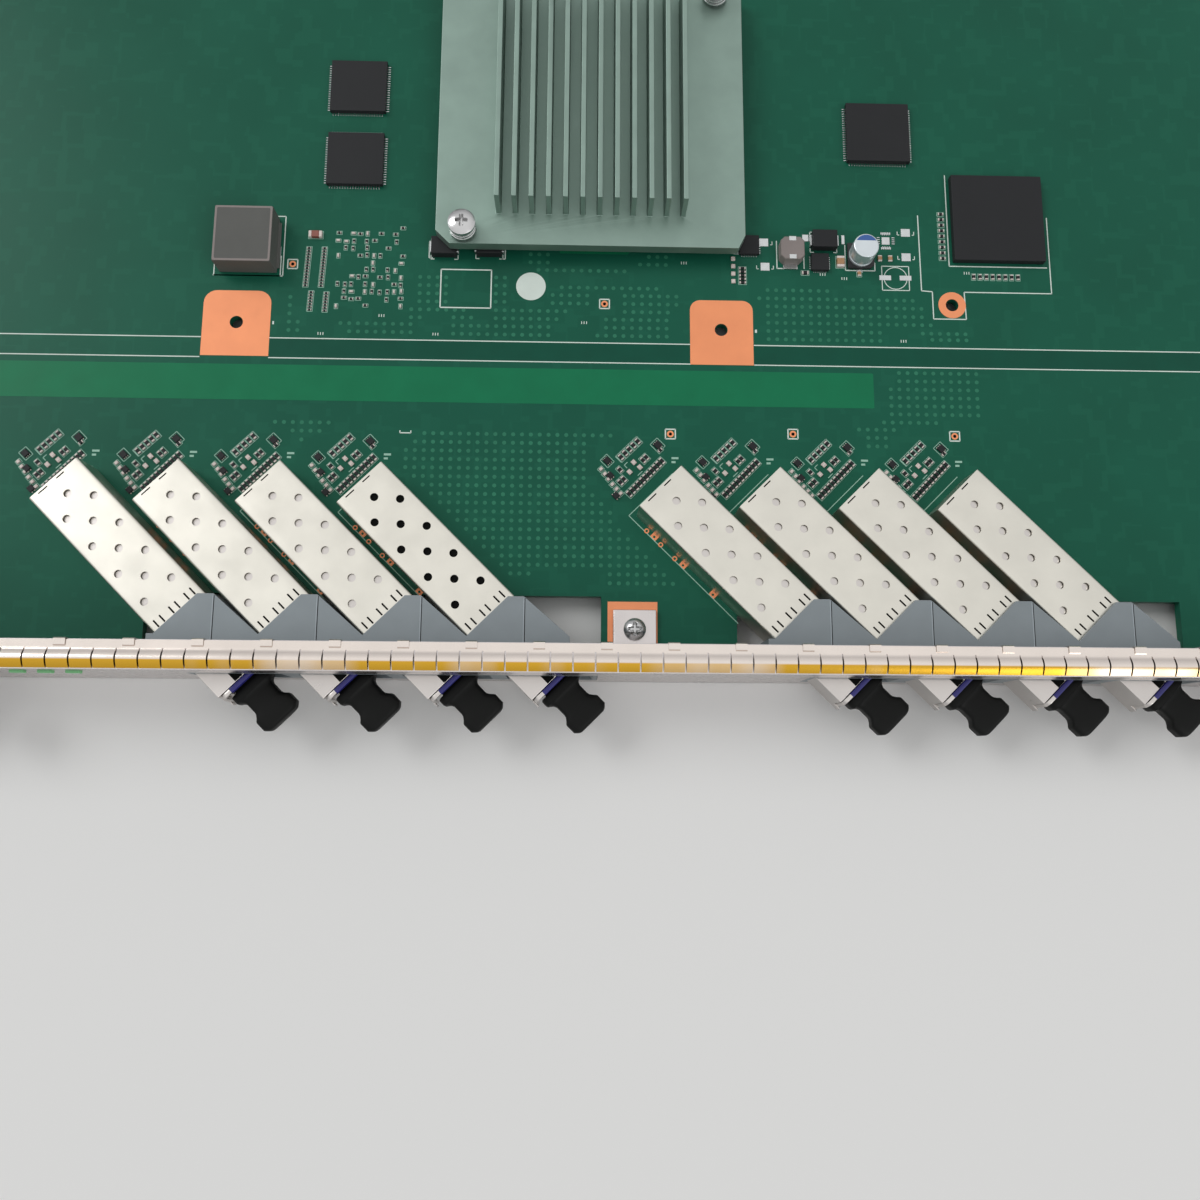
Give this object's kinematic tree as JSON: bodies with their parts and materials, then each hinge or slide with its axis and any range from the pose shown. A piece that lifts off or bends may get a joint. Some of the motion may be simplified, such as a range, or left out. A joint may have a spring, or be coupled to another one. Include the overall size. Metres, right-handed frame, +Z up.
{
  "type": "switch line card",
  "caption": "Plug-in optical line card: folded front panel with angled port cages and modules, green circuit board, heat sink, ejector levers and rear backplane connectors.",
  "frame": {"origin": "under the middle of the outer box, on the surface that the card's lower edge stands on", "axes": "+X along the front panel, +Y to the rear connectors, +Z up through the parts side of the board"},
  "size_m": [0.3954, 0.2522, 0.024],
  "materials": {
    "panel_metal": "plated sheet steel",
    "gasket_metal": "bright tin plated spring alloy",
    "lens": "clear moulded light guide",
    "board_green": "green solder mask over glass laminate",
    "host_plastic": "black moulding",
    "bezel_plastic": "grey-blue moulding",
    "bracket_metal": "zinc plated sheet",
    "screw_metal": "bright plated steel",
    "cage_metal": "tin plated sheet",
    "module_metal": "plated zinc die casting",
    "bail_plastic": "blue-violet moulding",
    "plug_rubber": "black soft moulding",
    "sink_metal": "clear anodised aluminium",
    "chip_plastic": "black epoxy",
    "diode_plastic": "black epoxy",
    "ferrite": "grey ferrite",
    "capacitor_can": "drawn aluminium can",
    "connector_plastic": "pale glass filled moulding",
    "guide_metal": "die cast socket",
    "lever_plastic": "grey-blue moulding"
  },
  "bodies": {
    "card": {"front_panel": "panel_metal", "finger_gasket": "gasket_metal", "status_lenses": "lens", "circuit_board": "board_green", "cage_1": "cage_metal", "cage_2": "cage_metal", "cage_3": "cage_metal", "cage_4": "cage_metal", "cage_5": "cage_metal", "cage_6": "cage_metal", "cage_7": "cage_metal", "cage_8": "cage_metal", "host_connectors": "host_plastic", "port_bezel_left": "bezel_plastic", "port_bezel_right": "bezel_plastic", "panel_brackets": "bracket_metal", "bracket_screws": "screw_metal", "lever_pivots": "bracket_metal", "screw_ferrules": "screw_metal", "heat_sink": "sink_metal", "heat_sink_screws": "screw_metal", "main_chip": "chip_plastic", "diodes": "diode_plastic", "power_inductor": "ferrite", "drum_inductor": "ferrite", "electrolytic_capacitor": "capacitor_can", "interface_chip": "chip_plastic", "board_chips": "chip_plastic", "backplane_connector_left": "connector_plastic", "backplane_connector_right": "connector_plastic", "power_connector": "connector_plastic", "guide_sockets": "guide_metal"},
    "module_1": {"module_1": "module_metal"},
    "bail_1": {"bail_1": "bail_plastic"},
    "dust_plug_1": {"dust_plug_1": "plug_rubber"},
    "module_2": {"module_2": "module_metal"},
    "bail_2": {"bail_2": "bail_plastic"},
    "dust_plug_2": {"dust_plug_2": "plug_rubber"},
    "module_3": {"module_3": "module_metal"},
    "bail_3": {"bail_3": "bail_plastic"},
    "dust_plug_3": {"dust_plug_3": "plug_rubber"},
    "module_4": {"module_4": "module_metal"},
    "bail_4": {"bail_4": "bail_plastic"},
    "dust_plug_4": {"dust_plug_4": "plug_rubber"},
    "module_5": {"module_5": "module_metal"},
    "bail_5": {"bail_5": "bail_plastic"},
    "dust_plug_5": {"dust_plug_5": "plug_rubber"},
    "module_6": {"module_6": "module_metal"},
    "bail_6": {"bail_6": "bail_plastic"},
    "dust_plug_6": {"dust_plug_6": "plug_rubber"},
    "module_7": {"module_7": "module_metal"},
    "bail_7": {"bail_7": "bail_plastic"},
    "dust_plug_7": {"dust_plug_7": "plug_rubber"},
    "module_8": {"module_8": "module_metal"},
    "bail_8": {"bail_8": "bail_plastic"},
    "dust_plug_8": {"dust_plug_8": "plug_rubber"},
    "ejector_lever_left": {"ejector_lever_left": "lever_plastic"},
    "captive_screw_left": {"captive_screw_left": "screw_metal"},
    "ejector_lever_right": {"ejector_lever_right": "lever_plastic"},
    "captive_screw_right": {"captive_screw_right": "screw_metal"}
  },
  "joints": [
    {"name": "module_slide_1", "type": "slide", "parent": "card", "child": "module_1", "axis": [0.7071, -0.7071, 0], "range_m": [0, 0.045]},
    {"name": "bail_hinge_1", "type": "hinge", "parent": "module_1", "child": "bail_1", "pos_m": [-0.08716, -0.1149, 0.00715], "axis": [0.7071, 0.7071, 0], "range_deg": [0, 12]},
    {"name": "plug_slide_1", "type": "slide", "parent": "module_1", "child": "dust_plug_1", "axis": [0.7071, -0.7071, 0], "range_m": [0, 0.013]},
    {"name": "module_slide_2", "type": "slide", "parent": "card", "child": "module_2", "axis": [0.7071, -0.7071, 0], "range_m": [0, 0.045]},
    {"name": "bail_hinge_2", "type": "hinge", "parent": "module_2", "child": "bail_2", "pos_m": [-0.06418, -0.1149, 0.00715], "axis": [0.7071, 0.7071, 0], "range_deg": [0, 12]},
    {"name": "plug_slide_2", "type": "slide", "parent": "module_2", "child": "dust_plug_2", "axis": [0.7071, -0.7071, 0], "range_m": [0, 0.013]},
    {"name": "module_slide_3", "type": "slide", "parent": "card", "child": "module_3", "axis": [0.7071, -0.7071, 0], "range_m": [0, 0.045]},
    {"name": "bail_hinge_3", "type": "hinge", "parent": "module_3", "child": "bail_3", "pos_m": [-0.0412, -0.1149, 0.00715], "axis": [0.7071, 0.7071, 0], "range_deg": [0, 12]},
    {"name": "plug_slide_3", "type": "slide", "parent": "module_3", "child": "dust_plug_3", "axis": [0.7071, -0.7071, 0], "range_m": [0, 0.013]},
    {"name": "module_slide_4", "type": "slide", "parent": "card", "child": "module_4", "axis": [0.7071, -0.7071, 0], "range_m": [0, 0.045]},
    {"name": "bail_hinge_4", "type": "hinge", "parent": "module_4", "child": "bail_4", "pos_m": [-0.01822, -0.1149, 0.00715], "axis": [0.7071, 0.7071, 0], "range_deg": [0, 12]},
    {"name": "plug_slide_4", "type": "slide", "parent": "module_4", "child": "dust_plug_4", "axis": [0.7071, -0.7071, 0], "range_m": [0, 0.013]},
    {"name": "module_slide_5", "type": "slide", "parent": "card", "child": "module_5", "axis": [0.7071, -0.7071, 0], "range_m": [0, 0.045]},
    {"name": "bail_hinge_5", "type": "hinge", "parent": "module_5", "child": "bail_5", "pos_m": [0.05072, -0.1149, 0.00715], "axis": [0.7071, 0.7071, 0], "range_deg": [0, 12]},
    {"name": "plug_slide_5", "type": "slide", "parent": "module_5", "child": "dust_plug_5", "axis": [0.7071, -0.7071, 0], "range_m": [0, 0.013]},
    {"name": "module_slide_6", "type": "slide", "parent": "card", "child": "module_6", "axis": [0.7071, -0.7071, 0], "range_m": [0, 0.045]},
    {"name": "bail_hinge_6", "type": "hinge", "parent": "module_6", "child": "bail_6", "pos_m": [0.0737, -0.1149, 0.00715], "axis": [0.7071, 0.7071, 0], "range_deg": [0, 12]},
    {"name": "plug_slide_6", "type": "slide", "parent": "module_6", "child": "dust_plug_6", "axis": [0.7071, -0.7071, 0], "range_m": [0, 0.013]},
    {"name": "module_slide_7", "type": "slide", "parent": "card", "child": "module_7", "axis": [0.7071, -0.7071, 0], "range_m": [0, 0.045]},
    {"name": "bail_hinge_7", "type": "hinge", "parent": "module_7", "child": "bail_7", "pos_m": [0.09668, -0.1149, 0.00715], "axis": [0.7071, 0.7071, 0], "range_deg": [0, 12]},
    {"name": "plug_slide_7", "type": "slide", "parent": "module_7", "child": "dust_plug_7", "axis": [0.7071, -0.7071, 0], "range_m": [0, 0.013]},
    {"name": "module_slide_8", "type": "slide", "parent": "card", "child": "module_8", "axis": [0.7071, -0.7071, 0], "range_m": [0, 0.045]},
    {"name": "bail_hinge_8", "type": "hinge", "parent": "module_8", "child": "bail_8", "pos_m": [0.11966, -0.1149, 0.00715], "axis": [0.7071, 0.7071, 0], "range_deg": [0, 12]},
    {"name": "plug_slide_8", "type": "slide", "parent": "module_8", "child": "dust_plug_8", "axis": [0.7071, -0.7071, 0], "range_m": [0, 0.013]},
    {"name": "lever_hinge_left", "type": "hinge", "parent": "card", "child": "ejector_lever_left", "pos_m": [-0.187, -0.11915, 0.0114], "axis": [0, 0, -1], "range_deg": [0, 60]},
    {"name": "screw_slide_left", "type": "slide", "parent": "card", "child": "captive_screw_left", "axis": [0, 1, 0], "range_m": [0, 0.0034], "stiffness_N_per_m": 150, "springref_m": -0.004},
    {"name": "lever_hinge_right", "type": "hinge", "parent": "card", "child": "ejector_lever_right", "pos_m": [0.187, -0.11915, 0.0114], "axis": [0, 0, 1], "range_deg": [0, 60]},
    {"name": "screw_slide_right", "type": "slide", "parent": "card", "child": "captive_screw_right", "axis": [0, 1, 0], "range_m": [0, 0.0034], "stiffness_N_per_m": 150, "springref_m": -0.004}
  ]
}
